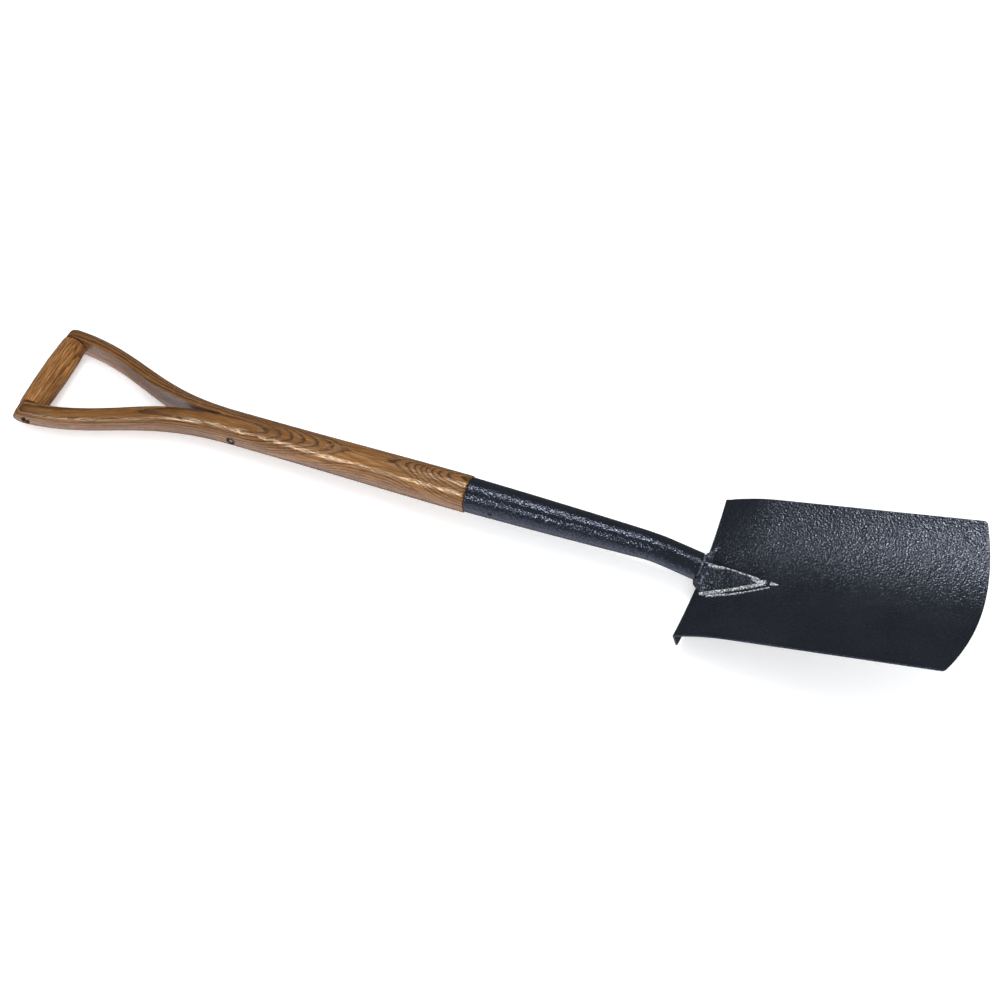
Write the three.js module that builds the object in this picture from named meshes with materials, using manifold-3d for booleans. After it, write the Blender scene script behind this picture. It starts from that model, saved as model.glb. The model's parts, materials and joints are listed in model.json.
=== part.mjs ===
// Garden digging spade: a dished steel blade with folded treads, a welded tapered socket
// and a one-piece ash YD handle. It lies on its back with the dished face up.
// Millimetres, +Z up, +X towards the cutting edge. The origin is under the middle of the
// whole spade, on the floor.

import * as THREE from "three";
import { mergeVertices } from "three/addons/utils/BufferGeometryUtils.js";
import Module from "manifold-3d";

const wasm = await Module();
wasm.setup();

// ---------------------------------------------------------------- driving dimensions
// The head frame: x runs from the tread line to the cutting edge, y across the blade, and
// z along the normal of the dished face. The blade's centre line is at y = 0, z = 0.

const fitGap = 0.3; // clearance between pieces that touch
const sheet = 2; // thickness of the blade

const bladeLength = 290;
const treadWidth = 181.6; // blade width at the treads
const edgeWidth = 184; // blade width at the cutting edge
const treadDish = 8.9; // how far the sides stand above the centre line at the treads
const edgeDish = 17.7; // the same from dishRun on to the cutting edge
const dishRun = 59;
const dishPower = 1.9; // shape of the blade's cross curve
const edgeRounding = 14.6; // how far the corners of the cutting edge fall back
const treadDepth = 17.5; // height of the folded treads
const foldRadius = 3.2; // outer radius of the fold
const treadFace = -1.6; // x of the treads' flat outer face
const notchHalfWidth = 20; // gap between the treads, where the socket is welded

// The handle frame: its -x axis is the axis of the socket and the shaft, which rises
// from the blade at handleAngle. u is the distance along it from above the tread line.

const handleAngle = THREE.MathUtils.degToRad(14.85);
const handleHeight = 24.2; // height of that axis above the blade's centre line at u = 0
const handleOffset = -3.4; // the socket is welded slightly to one side of the centre line

const socketMouth = 252;
const mouthRadius = 19.1;
const neckRadius = 14.9;
const neckStart = 50; // the socket tapers from its mouth to here
const socketWall = 1.8;
const taperBulge = 0.45; // how much of the taper is quadratic
const neckVertex = 45; // where the axes before and after the neck bend meet
const neckBend = THREE.MathUtils.degToRad(14);
const neckBendReach = 15; // from the vertex to each end of the bend
const neckEnd = 49; // from the vertex to the socket's end on the blade

const frogStart = -4;
const frogApex = 72;
const frogWide = 6; // where the frog is widest
const frogRearShare = 0.56; // its width at frogStart, as a share of the widest
const frogNearEdge = -29;
const frogFarEdge = 16.5;
const frogCrestHeight = 23;
const frogCrest = -2.5; // the crest's y
const frogApexY = -4;
const frogWall = 2.5;
const footHeight = 1.2; // upright edge along the frog's feet
const frogStations = [20, 35, 50, 62]; // sections between the widest one and the apex

const shaftRadius = 18.95;
const shoulderRadius = 20.3; // the wood swells where it meets the socket
const shoulderRun = [275, 480]; // the swelling fades out over this stretch
const shaftStart = 108; // the end of the wood inside the socket
const forkStart = 536; // the arms leave the round shaft here
const sawCutEnd = 546; // the end of the saw cut between the arms
const armRootRadius = shaftRadius - 0.15; // just inside the round shaft
const armHalfHeight = 12.8;
const armEndRadius = 13.6; // of the arms' rounded ends, about the grip bar's axis

const gripPosition = 762;
const gripHalfLength = 48.8;
const gripMidRadius = 15.8;
const gripEndRadius = 15.2;
const tenonRadius = 8.5;
const tenonLength = 7;

const rivetRadius = 2.2;
const washerRadius = 4.8;
const washerThickness = 1.2;
const counterboreRadius = 5.2;
const gripRivetPosition = 759; // a little off the bar's axis
const gripRivetHalf = 65.6;
const gripCounterbore = 63;
const forkRivetPosition = 527.5;
const forkRivetHalf = 18.6;
const forkCounterbore = 16.2;
const socketRivetPosition = 222;
const socketRivetHeight = 0;
const socketRivetRadius = 1.6;
const socketHeadRadius = 2.8;
const socketHeadHeight = 1;

// ---------------------------------------------------------------- materials

function steelPaint(hex, roughness) {
  return new THREE.MeshStandardMaterial({ color: hex, roughness, metalness: 0.2 });
}

function varnishedAsh(hex) {
  return new THREE.MeshStandardMaterial({ color: hex, roughness: 0.35, metalness: 0 });
}

function zincSteel(hex) {
  return new THREE.MeshStandardMaterial({ color: hex, roughness: 0.4, metalness: 0.8 });
}

// ---------------------------------------------------------------- solids and booleans

// Turns a closed geometry into a solid that can be joined and cut.
function solid(geometry) {
  const bare = geometry.index ? geometry.toNonIndexed() : geometry.clone();
  bare.deleteAttribute("normal");
  bare.deleteAttribute("uv");
  const merged = mergeVertices(bare, 1e-4);
  return new wasm.Manifold(
    new wasm.Mesh({
      numProp: 3,
      vertProperties: merged.attributes.position.array,
      triVerts: new Uint32Array(merged.index.array),
    }),
  );
}

function geometryOf(body) {
  const mesh = body.getMesh();
  const geometry = new THREE.BufferGeometry();
  geometry.setAttribute("position", new THREE.BufferAttribute(mesh.vertProperties, 3));
  geometry.setIndex(new THREE.BufferAttribute(mesh.triVerts, 1));
  return geometry;
}

function cut(body, ...cutters) {
  return cutters.reduce((left, cutter) => left.subtract(cutter), body);
}

// Closed skin over a list of rings with the same number of points, with a fan on each end.
function loft(rings) {
  const count = rings[0].length;
  const points = rings.flat();
  const faces = [];
  const first = points.push(centreOf(rings[0])) - 1;
  const last = points.push(centreOf(rings.at(-1))) - 1;
  const lastRing = (rings.length - 1) * count;
  for (let i = 0; i < count; i++) {
    const j = (i + 1) % count;
    faces.push(first, j, i, last, lastRing + i, lastRing + j);
    for (let row = 0; row < lastRing; row += count) {
      const near = row + count;
      faces.push(row + i, row + j, near + j, row + i, near + j, near + i);
    }
  }
  return new THREE.BufferGeometry().setFromPoints(points).setIndex(faces);
}

function centreOf(ring) {
  const sum = ring.reduce((total, point) => total.add(point), new THREE.Vector3());
  return sum.divideScalar(ring.length);
}

// Closed skin between two equal grids of points: front is seen, back is behind it.
function slab(front, back) {
  const rows = front.length;
  const columns = front[0].length;
  const points = [...front.flat(), ...back.flat()];
  const behind = rows * columns;
  const faces = [];
  const quad = (a, b, c, d) => faces.push(a, b, c, a, c, d);
  for (let r = 0; r + 1 < rows; r++) {
    for (let c = 0; c + 1 < columns; c++) {
      const a = r * columns + c;
      const b = a + columns;
      quad(a, b, b + 1, a + 1);
      quad(behind + a, behind + a + 1, behind + b + 1, behind + b);
    }
  }
  for (let r = 0; r + 1 < rows; r++) {
    const left = r * columns;
    const right = left + columns - 1;
    quad(left, behind + left, behind + left + columns, left + columns);
    quad(right, right + columns, behind + right + columns, behind + right);
  }
  for (let c = 0; c + 1 < columns; c++) {
    const end = (rows - 1) * columns + c;
    quad(c, c + 1, behind + c + 1, behind + c);
    quad(end, behind + end, behind + end + 1, end + 1);
  }
  return new THREE.BufferGeometry().setFromPoints(points).setIndex(faces);
}

// A round bar along y, centred on the given point of the handle's axis.
function crossPin(position, radius, halfLength, height = 0) {
  const pin = new THREE.CylinderGeometry(radius, radius, 2 * halfLength, 24);
  return pin.translate(-position, 0, height);
}

// The stretch of a round bar along y from inner to outer, on one side of the handle.
function crossPlug(position, radius, inner, outer, side) {
  const plug = new THREE.CylinderGeometry(radius, radius, outer - inner, 24);
  return plug.translate(-position, (side * (inner + outer)) / 2, 0);
}

// ---------------------------------------------------------------- blade

function bladeHalfWidth(x) {
  return THREE.MathUtils.lerp(treadWidth, edgeWidth, x / bladeLength) / 2;
}

// Height of the dished face at x, where across runs from -1 to 1 over the width.
function dish(x, across) {
  const t = Math.min(x / dishRun, 1);
  const depth = treadDish + (edgeDish - treadDish) * t * (2 - t);
  return depth * Math.abs(across) ** dishPower;
}

function dishAt(x, y) {
  return dish(Math.max(x, 0), y / bladeHalfWidth(Math.max(x, 0)));
}

// One point of the dished face and its fold, as {x, z} and the direction of the back.
function foldPoint(across, angle) {
  const top = dish(foldRadius, across);
  const back = new THREE.Vector3(Math.cos(angle), 0, -Math.sin(angle));
  return {
    x: treadFace + foldRadius * (1 - Math.cos(angle)),
    z: top - foldRadius * (1 - Math.sin(angle)),
    back,
  };
}

// The pressed sheet, thicker all round by grow where it is used to cut a neighbour.
function bladeSheet(grow = 0) {
  const columns = 33;
  const foldSteps = 4;
  const bladeSteps = 14;
  const front = [];
  const back = [];
  const addRow = (pointAt) => {
    const frontRow = [];
    const backRow = [];
    for (let c = 0; c < columns; c++) {
      const across = (2 * c) / (columns - 1) - 1;
      const { x, z, back: inward } = pointAt(across);
      const y = across * bladeHalfWidth(x);
      const seen = new THREE.Vector3(x, y, z).addScaledVector(inward, -grow);
      frontRow.push(seen);
      backRow.push(seen.clone().addScaledVector(inward, sheet + 2 * grow));
    }
    front.push(frontRow);
    back.push(backRow);
  };
  addRow((across) => {
    const end = foldPoint(across, 0);
    return { ...end, z: dish(foldRadius, across) - treadDepth };
  });
  for (let k = 0; k <= foldSteps; k++) {
    addRow((across) => foldPoint(across, ((k / foldSteps) * Math.PI) / 2));
  }
  for (let k = 1; k <= bladeSteps; k++) {
    addRow((across) => {
      const end = bladeLength - edgeRounding * across ** 2;
      const x = THREE.MathUtils.lerp(foldRadius + treadFace, end, k / bladeSteps);
      return { x, z: dish(x, across), back: new THREE.Vector3(0, 0, -1) };
    });
  }
  return solid(slab(front, back));
}

// The gap between the two treads, where the socket crosses the fold.
function treadNotch() {
  const depth = 2 * treadDepth;
  const notch = new THREE.BoxGeometry(foldRadius, 2 * notchHalfWidth, depth);
  return solid(notch.translate(treadFace + foldRadius / 2 - 0.1, handleOffset, 0));
}

// ---------------------------------------------------------------- socket

// Outer radius of the socket at u.
function socketRadius(u) {
  const t = THREE.MathUtils.clamp((u - neckStart) / (socketMouth - neckStart), 0, 1);
  const eased = t * (1 + taperBulge - taperBulge * t);
  return THREE.MathUtils.lerp(neckRadius, mouthRadius, eased);
}

// The socket's centre line in the handle frame, from past the mouth to past the end.
function socketPath(extra) {
  const bendDirection = new THREE.Vector3(Math.cos(neckBend), 0, -Math.sin(neckBend));
  const vertex = new THREE.Vector3(-neckVertex, 0, 0);
  const mouth = new THREE.Vector3(-socketMouth - extra, 0, 0);
  const bendIn = new THREE.Vector3(-neckVertex - neckBendReach, 0, 0);
  const bendOut = vertex.clone().addScaledVector(bendDirection, neckBendReach);
  const end = vertex.clone().addScaledVector(bendDirection, neckEnd + extra);
  const path = new THREE.CurvePath();
  path.add(new THREE.LineCurve3(mouth, bendIn));
  path.add(new THREE.QuadraticBezierCurve3(bendIn, vertex, bendOut));
  path.add(new THREE.LineCurve3(bendOut, end));
  return path;
}

// The socket's outside, made fatter by grow and longer by extra at both ends.
function socketBody(grow, extra) {
  const stepsPerCurve = [8, 5, 2];
  const sides = 32;
  const rings = [];
  socketPath(extra).curves.forEach((curve, index) => {
    const steps = stepsPerCurve[index];
    for (let k = index ? 1 : 0; k <= steps; k++) {
      const centre = curve.getPoint(k / steps);
      const along = curve.getTangent(k / steps);
      const up = new THREE.Vector3(-along.z, 0, along.x);
      rings.push(circle(centre, up, socketRadius(-centre.x) + grow, sides));
    }
  });
  return solid(loft(rings));
}

// A circle about centre, in the plane of y and up.
function circle(centre, up, radius, sides) {
  return Array.from({ length: sides }, (_, i) => {
    const angle = (2 * Math.PI * i) / sides;
    const point = centre.clone().addScaledVector(up, radius * Math.sin(angle));
    point.y += radius * Math.cos(angle);
    return point;
  });
}

// Carries a solid from the handle frame to the head frame.
function toHead(body) {
  return solid(geometryOf(body).applyMatrix4(handlePlace()));
}

function handlePlace() {
  const place = new THREE.Matrix4().makeRotationY(handleAngle);
  return place.setPosition(0, handleOffset, handleHeight);
}

// ---------------------------------------------------------------- frog

// Share of the frog's full size at x: it flares from the socket, then tapers to the apex.
function frogSize(x) {
  if (x < frogWide) {
    return THREE.MathUtils.mapLinear(x, frogStart, frogWide, frogRearShare, 1);
  }
  return Math.max((frogApex - x) / (frogApex - frogWide), 0.04);
}

// The frog's outline at x: near foot, flank, rounded crest, far flank and far foot.
function frogRing(x, inset, sink) {
  const size = frogSize(x);
  const taper = Math.min((frogApex - x) / (frogApex - frogWide), 1.2);
  const middle = THREE.MathUtils.lerp(frogApexY, frogCrest, taper);
  const near = frogApexY + (frogNearEdge - frogApexY) * size + inset;
  const far = frogApexY + (frogFarEdge - frogApexY) * size - inset;
  const top = Math.max(frogCrestHeight * taper, 1.2) - inset;
  const rim = fitGap + footHeight - inset;
  const crestHalf = 7 * Math.max(taper, 0.1);
  const flankTop = top - crestHalf * 0.45;
  return [
    [near, dishAt(x, near) + fitGap - sink],
    [near + 0.4, dishAt(x, near) + rim],
    [middle - crestHalf, flankTop],
    [middle - crestHalf * 0.45, top - crestHalf * 0.1],
    [middle, top],
    [middle + crestHalf * 0.45, top - crestHalf * 0.12],
    [middle + crestHalf * 0.8, flankTop],
    [far - 0.4, dishAt(x, far) + rim],
    [far, dishAt(x, far) + fitGap - sink],
  ].map(([y, z]) => new THREE.Vector3(x, y, z));
}

function frogBody(inset, from, to, sink = 0) {
  const stations = [from, frogWide, ...frogStations.filter((x) => x < to), to];
  return solid(loft(stations.map((x) => frogRing(x, inset, sink).reverse())));
}

// ---------------------------------------------------------------- welds

// A bead along a path, thick at its start and thin at its end, cut back by its neighbours.
function bead(points, startRadius, endRadius, ...neighbours) {
  const path = new THREE.CatmullRomCurve3(points);
  const steps = 8;
  const sides = 10;
  const up = new THREE.Vector3(0, 0, 1);
  const rings = [];
  for (let k = 0; k <= steps; k++) {
    const t = k / steps;
    const along = path.getTangent(t);
    const across = new THREE.Vector3().crossVectors(along, up).normalize();
    const over = new THREE.Vector3().crossVectors(across, along);
    const radius = THREE.MathUtils.lerp(startRadius, endRadius, t);
    const ring = Array.from({ length: sides }, (_, i) => {
      const angle = (-2 * Math.PI * i) / sides;
      const point = path.getPoint(t).addScaledVector(across, radius * Math.cos(angle));
      return point.addScaledVector(over, radius * Math.sin(angle));
    });
    rings.push(ring);
  }
  return biggestPart(cut(solid(loft(rings)), ...neighbours));
}

function biggestPart(body) {
  const parts = body.decompose();
  return parts.reduce((best, part) => (part.volume() > best.volume() ? part : best));
}

// A weld along an arc of the socket's end, centred on the middle angle and moved by shift.
function socketEndBead({ middle, arc, radius, shift }, ...neighbours) {
  const along = new THREE.Vector3(Math.cos(neckBend), 0, -Math.sin(neckBend));
  const up = new THREE.Vector3(-along.z, 0, along.x);
  const vertex = new THREE.Vector3(-neckVertex, 0, 0);
  const centre = vertex.addScaledVector(along, neckEnd);
  const points = Array.from({ length: 9 }, (_, i) => {
    const angle = THREE.MathUtils.degToRad(middle + arc * (i / 8 - 0.5));
    const point = centre.clone().addScaledVector(up, neckRadius * Math.sin(angle));
    point.y += neckRadius * Math.cos(angle);
    return point.applyMatrix4(handlePlace()).add(shift);
  });
  const path = new THREE.CatmullRomCurve3(points);
  const round = new THREE.Shape().absarc(0, 0, radius, 0, 2 * Math.PI);
  const settings = { steps: 14, curveSegments: 5, extrudePath: path };
  return biggestPart(cut(solid(new THREE.ExtrudeGeometry(round, settings)), ...neighbours));
}

// ---------------------------------------------------------------- wooden handle

// Radius of the round shaft at u, inside and outside the socket.
function woodRadius(u) {
  if (u < socketMouth) return socketRadius(u) - socketWall - fitGap;
  const fade = THREE.MathUtils.smoothstep(u, ...shoulderRun);
  return THREE.MathUtils.lerp(shoulderRadius, shaftRadius, fade);
}

function shaftBody() {
  const sides = 32;
  const up = new THREE.Vector3(0, 0, 1);
  const ringAt = (u, radius) => circle(new THREE.Vector3(-u, 0, 0), up, radius, sides);
  const shoulder = socketMouth + 1;
  const rings = [ringAt(sawCutEnd, shaftRadius), ringAt(forkStart, shaftRadius)];
  for (let u = 500; u >= 275; u -= 25) rings.push(ringAt(u, woodRadius(u)));
  rings.push(ringAt(shoulder + 4, shoulderRadius));
  rings.push(ringAt(shoulder + 1.2, shoulderRadius - 0.6));
  rings.push(ringAt(shoulder, shoulderRadius - 1.6));
  rings.push(ringAt(shoulder - 0.1, woodRadius(socketMouth - 1)));
  for (let u = 240; u > shaftStart; u -= 33) rings.push(ringAt(u, woodRadius(u)));
  rings.push(ringAt(shaftStart, woodRadius(shaftStart) - 1));
  return solid(loft(rings));
}

// Plan curves of an arm's flat inner face and round outer side, as (u, y).
const armInner = new THREE.CubicBezierCurve(
  new THREE.Vector2(forkStart, 0.6),
  new THREE.Vector2(656, 0.6),
  new THREE.Vector2(671, 49.5),
  new THREE.Vector2(778, 52),
);
const armOuter = new THREE.CubicBezierCurve(
  new THREE.Vector2(forkStart, armRootRadius),
  new THREE.Vector2(645, shaftRadius),
  new THREE.Vector2(675, 67),
  new THREE.Vector2(778, 68.6),
);

// One arm: D-shaped sections, half-round at the fork and squarer towards the grip.
function armBody(side) {
  const steps = 20;
  const halfSides = 12;
  const rings = [];
  for (let k = 0; k <= steps; k++) {
    const t = k / steps;
    const inner = armInner.getPoint(t);
    const outer = armOuter.getPoint(t);
    const blend = THREE.MathUtils.smoothstep(t, 0, 0.55);
    const height = THREE.MathUtils.lerp(armRootRadius, armHalfHeight, blend);
    const power = THREE.MathUtils.lerp(1, 0.72, blend);
    const ring = Array.from({ length: halfSides + 1 }, (_, i) => {
      const angle = (Math.PI * i) / halfSides - Math.PI / 2;
      const reach = Math.cos(angle) < 1e-9 ? 0 : Math.cos(angle) ** power;
      const rise = Math.sign(angle) * Math.abs(Math.sin(angle)) ** power;
      const plan = inner.clone().lerp(outer, reach);
      return new THREE.Vector3(-plan.x, side * plan.y, height * rise);
    });
    rings.push(side > 0 ? ring.reverse() : ring);
  }
  return solid(loft(rings));
}

function armHoles(side) {
  const tenonHole = crossPlug(
    gripPosition,
    tenonRadius + fitGap,
    gripHalfLength - 1,
    gripHalfLength + tenonLength + fitGap,
    side,
  );
  const counterbore = crossPlug(
    gripRivetPosition,
    counterboreRadius,
    gripCounterbore,
    80,
    side,
  );
  return solid(tenonHole).add(solid(counterbore));
}

// What is cut away to round the arms' ends about the grip bar's axis.
function armEndWaste() {
  const reach = 40;
  const block = new THREE.BoxGeometry(reach, 4 * reach, 2 * reach);
  const beyond = solid(block.translate(-gripPosition - reach / 2, 0, 0));
  return beyond.subtract(solid(crossPin(gripPosition, armEndRadius, 3 * reach)));
}

function forkHoles(side) {
  return solid(crossPlug(forkRivetPosition, counterboreRadius, forkCounterbore, 30, side));
}

function handleBody() {
  const wood = shaftBody().add(armBody(1)).add(armBody(-1));
  return cut(
    wood,
    armEndWaste(),
    armHoles(1),
    armHoles(-1),
    solid(crossPin(gripRivetPosition, rivetRadius + fitGap, 80)),
    forkHoles(1),
    forkHoles(-1),
    solid(crossPin(forkRivetPosition, rivetRadius + fitGap, 30)),
    solid(crossPin(socketRivetPosition, socketRivetRadius + fitGap, 30, socketRivetHeight)),
  );
}

// The grip bar: a barrel with a tenon on each end, bored for the rivet.
function gripBody() {
  const steps = 12;
  const profile = [new THREE.Vector2(0, -gripHalfLength - tenonLength)];
  profile.push(new THREE.Vector2(tenonRadius, -gripHalfLength - tenonLength));
  profile.push(new THREE.Vector2(tenonRadius, -gripHalfLength));
  for (let k = 0; k <= steps; k++) {
    const t = (2 * k) / steps - 1;
    const radius = THREE.MathUtils.lerp(gripMidRadius, gripEndRadius, t * t);
    profile.push(new THREE.Vector2(radius, t * gripHalfLength));
  }
  profile.push(new THREE.Vector2(tenonRadius, gripHalfLength));
  profile.push(new THREE.Vector2(tenonRadius, gripHalfLength + tenonLength));
  profile.push(new THREE.Vector2(0, gripHalfLength + tenonLength));
  const barrel = new THREE.LatheGeometry(profile, 32).translate(-gripPosition, 0, 0);
  return cut(solid(barrel), solid(crossPin(gripRivetPosition, rivetRadius + fitGap, 80)));
}

// ---------------------------------------------------------------- fastenings

// A plain rivet along y: its ends are slightly crowned.
function rivetGeometry(position, halfLength) {
  const crown = 0.5;
  const profile = [
    new THREE.Vector2(0, -halfLength),
    new THREE.Vector2(rivetRadius * 0.7, -halfLength + crown * 0.3),
    new THREE.Vector2(rivetRadius, -halfLength + crown),
    new THREE.Vector2(rivetRadius, halfLength - crown),
    new THREE.Vector2(rivetRadius * 0.7, halfLength - crown * 0.3),
    new THREE.Vector2(0, halfLength),
  ];
  return new THREE.LatheGeometry(profile, 20).translate(-position, 0, 0);
}

// The washer at the bottom of a counterbore, on one side of the handle.
function washerGeometry(position, floor, side) {
  const inner = rivetRadius + fitGap;
  const low = floor + fitGap;
  const high = low + washerThickness;
  const profile = [
    new THREE.Vector2(inner, low),
    new THREE.Vector2(washerRadius, low),
    new THREE.Vector2(washerRadius, high - fitGap),
    new THREE.Vector2(washerRadius - fitGap, high),
    new THREE.Vector2(inner, high),
    new THREE.Vector2(inner, low),
  ];
  const washer = new THREE.LatheGeometry(profile, 24);
  if (side < 0) washer.rotateX(Math.PI);
  return washer.translate(-position, 0, 0);
}

// The rivet through the socket and the shaft, with a low round head on each side.
function socketRivetGeometry() {
  const seat = socketRadius(socketRivetPosition) + fitGap;
  const half = [
    new THREE.Vector2(socketRivetRadius, seat),
    new THREE.Vector2(socketHeadRadius, seat),
    new THREE.Vector2(socketHeadRadius * 0.8, seat + socketHeadHeight * 0.6),
    new THREE.Vector2(socketHeadRadius * 0.4, seat + socketHeadHeight * 0.95),
    new THREE.Vector2(0, seat + socketHeadHeight),
  ];
  const mirrored = half.map((point) => new THREE.Vector2(point.x, -point.y)).reverse();
  const rivet = new THREE.LatheGeometry([...mirrored, ...half], 20);
  return rivet.translate(-socketRivetPosition, 0, socketRivetHeight);
}

// ---------------------------------------------------------------- assembly

function addPiece(group, name, shape, material) {
  const geometry = shape.isBufferGeometry ? shape : geometryOf(shape);
  const mesh = new THREE.Mesh(geometry, material);
  mesh.name = name;
  group.add(mesh);
}

function makeHead() {
  const head = new THREE.Group();
  const blue = 0x2b2f36;
  const pieceGap = fitGap + 0.1;
  const frogRear = frogStart - 4;
  const socketSpace = toHead(socketBody(pieceGap, pieceGap));
  const bladeSpace = bladeSheet(pieceGap);
  const frogSpace = frogBody(-pieceGap, frogStart - pieceGap, frogApex + pieceGap, 2);

  addPiece(head, "blade", cut(bladeSheet(), treadNotch()), steelPaint(blue, 0.45));

  const frogSolid = frogBody(0, frogStart, frogApex);
  const frogHollow = frogBody(frogWall, frogRear, frogApex - 20, 4);
  const frog = biggestPart(cut(frogSolid, frogHollow, socketSpace, bladeSpace));
  addPiece(head, "frog", frog, steelPaint(blue, 0.45));

  const at = (x, y, lift = 1) => new THREE.Vector3(x, y, dishAt(x, y) + lift);
  const spaces = [bladeSpace, frogSpace, socketSpace];
  const beads = {
    weld_frog_near: [[at(5, -30.7), at(38, -18.5), at(71, -7)], 5.2, 3.2],
    weld_frog_far: [[at(12, 16.2), at(38, 8.5), at(71, -1.4)], 4.4, 3],
    weld_frog_tip: [[at(75, -4.4), at(79, -4.6), at(83, -4.8)], 3.2, 1.2],
    weld_tread_far: [[at(3, 15, 2), at(3, 23, 1), at(3, 31, 0)], 3.8, 2.2],
  };
  for (const [name, [points, startRadius, endRadius]] of Object.entries(beads)) {
    const shape = bead(points, startRadius, endRadius, ...spaces);
    addPiece(head, name, shape, steelPaint(0x8d949c, 0.4));
  }
  const neck = { middle: 90, arc: 150, radius: 2.6, shift: new THREE.Vector3() };
  addPiece(head, "weld_neck", socketEndBead(neck, ...spaces), steelPaint(0x8d949c, 0.4));
  const rear = { middle: -90, arc: 100, radius: 5.2, shift: new THREE.Vector3(4.2, 0, -1.2) };
  addPiece(head, "weld_rear", socketEndBead(rear, ...spaces), steelPaint(0x8d949c, 0.4));
  return head;
}

function makeHandle() {
  const handle = new THREE.Group();
  const pinHole = crossPin(
    socketRivetPosition,
    socketRivetRadius + fitGap,
    30,
    socketRivetHeight,
  );
  const socket = cut(socketBody(0, 0), socketBody(-socketWall, 1), solid(pinHole));
  addPiece(handle, "socket", socket, steelPaint(0x2e333b, 0.35));
  addPiece(handle, "shaft", handleBody(), varnishedAsh(0x8a5a2c));
  addPiece(handle, "grip_bar", gripBody(), varnishedAsh(0x8f6132));

  const rivets = {
    grip: [gripRivetPosition, gripRivetHalf, gripCounterbore],
    fork: [forkRivetPosition, forkRivetHalf, forkCounterbore],
  };
  for (const [place, [position, half, floor]] of Object.entries(rivets)) {
    const rod = rivetGeometry(position, half);
    addPiece(handle, `${place}_rivet`, rod, zincSteel(0xb9b2a6));
    const near = washerGeometry(position, floor, -1);
    addPiece(handle, `${place}_washer_near`, near, zincSteel(0x1c1a19));
    const far = washerGeometry(position, floor, 1);
    addPiece(handle, `${place}_washer_far`, far, zincSteel(0x1c1a19));
  }
  addPiece(handle, "socket_rivet", socketRivetGeometry(), steelPaint(0x2e333b, 0.35));
  handle.applyMatrix4(handlePlace());
  return handle;
}

// The tilt that brings the treads' lowest corners and the grip bar's underside level.
function restTilt() {
  const grip = new THREE.Vector3(-gripPosition, 0, 0).applyMatrix4(handlePlace());
  const across = (notchHalfWidth + handleOffset) / bladeHalfWidth(treadFace);
  const rise = grip.z - (dish(foldRadius, across) - treadDepth);
  const run = treadFace - grip.x;
  return Math.atan2(rise, run) - Math.asin(gripMidRadius / Math.hypot(rise, run));
}

function makeSpade() {
  const tilted = new THREE.Group();
  tilted.add(makeHead(), makeHandle());
  tilted.rotation.y = -restTilt();
  const spade = new THREE.Group();
  spade.add(tilted);
  const box = new THREE.Box3().setFromObject(spade, true);
  const middle = box.getCenter(new THREE.Vector3());
  tilted.position.set(-middle.x, -middle.y, -box.min.z);
  return spade;
}

export default makeSpade();
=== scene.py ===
import json
import math

import bmesh
import bpy
from mathutils import Matrix, Vector, noise


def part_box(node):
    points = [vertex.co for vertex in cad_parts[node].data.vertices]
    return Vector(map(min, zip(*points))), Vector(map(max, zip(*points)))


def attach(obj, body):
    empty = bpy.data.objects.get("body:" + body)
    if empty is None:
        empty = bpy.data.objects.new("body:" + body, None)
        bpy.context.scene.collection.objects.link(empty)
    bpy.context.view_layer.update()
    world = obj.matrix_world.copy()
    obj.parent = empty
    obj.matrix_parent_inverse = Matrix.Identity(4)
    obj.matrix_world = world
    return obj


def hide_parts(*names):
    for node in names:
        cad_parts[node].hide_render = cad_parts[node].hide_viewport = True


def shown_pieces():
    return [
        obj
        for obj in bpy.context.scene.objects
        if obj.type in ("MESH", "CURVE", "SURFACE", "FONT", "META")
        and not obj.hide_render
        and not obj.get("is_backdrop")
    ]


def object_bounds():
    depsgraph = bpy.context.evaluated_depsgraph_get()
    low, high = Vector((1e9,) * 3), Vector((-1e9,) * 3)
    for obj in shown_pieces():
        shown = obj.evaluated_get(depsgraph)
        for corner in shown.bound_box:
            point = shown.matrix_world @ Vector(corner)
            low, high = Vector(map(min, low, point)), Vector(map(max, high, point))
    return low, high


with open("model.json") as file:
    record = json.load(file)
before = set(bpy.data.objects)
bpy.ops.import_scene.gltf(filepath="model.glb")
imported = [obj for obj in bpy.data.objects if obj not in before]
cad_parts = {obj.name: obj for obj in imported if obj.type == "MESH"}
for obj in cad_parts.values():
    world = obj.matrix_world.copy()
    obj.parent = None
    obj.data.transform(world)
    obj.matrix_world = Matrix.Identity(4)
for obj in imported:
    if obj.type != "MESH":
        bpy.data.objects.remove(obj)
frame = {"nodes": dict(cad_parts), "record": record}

# A garden digging spade, lying on its back on a pale floor with its dished face up. The packed
# CAD model gives every place. The shapes here are finer meshes of the same pieces, in
# millimetres in two frames: the head frame (x to the cutting edge, y across, z out of the
# dished face) and the handle frame (x = -u along the shaft, u counted from the blade).

MM = 0.001  # metres
BODY = "root"
CAD_LOW, CAD_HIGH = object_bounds()

# ---------------------------------------------------------------- dimensions (mm)

SHEET = 2.0
BLADE_LENGTH = 290.0
TREAD_WIDTH, EDGE_WIDTH = 181.6, 184.0
TREAD_DISH, EDGE_DISH = 8.9, 17.7
DISH_RUN, DISH_POWER = 59.0, 1.9
EDGE_ROUNDING = 14.6
TREAD_DEPTH = 17.5
FOLD_RADIUS = 3.2
TREAD_FACE = -1.6
NOTCH_HALF, NOTCH_CENTRE = 20.0, -3.4
CORNER_RADIUS = 3.0
TREAD_POINT = Vector((TREAD_FACE, -58, -6.5))  # the mount tread_near, in the head frame

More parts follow.
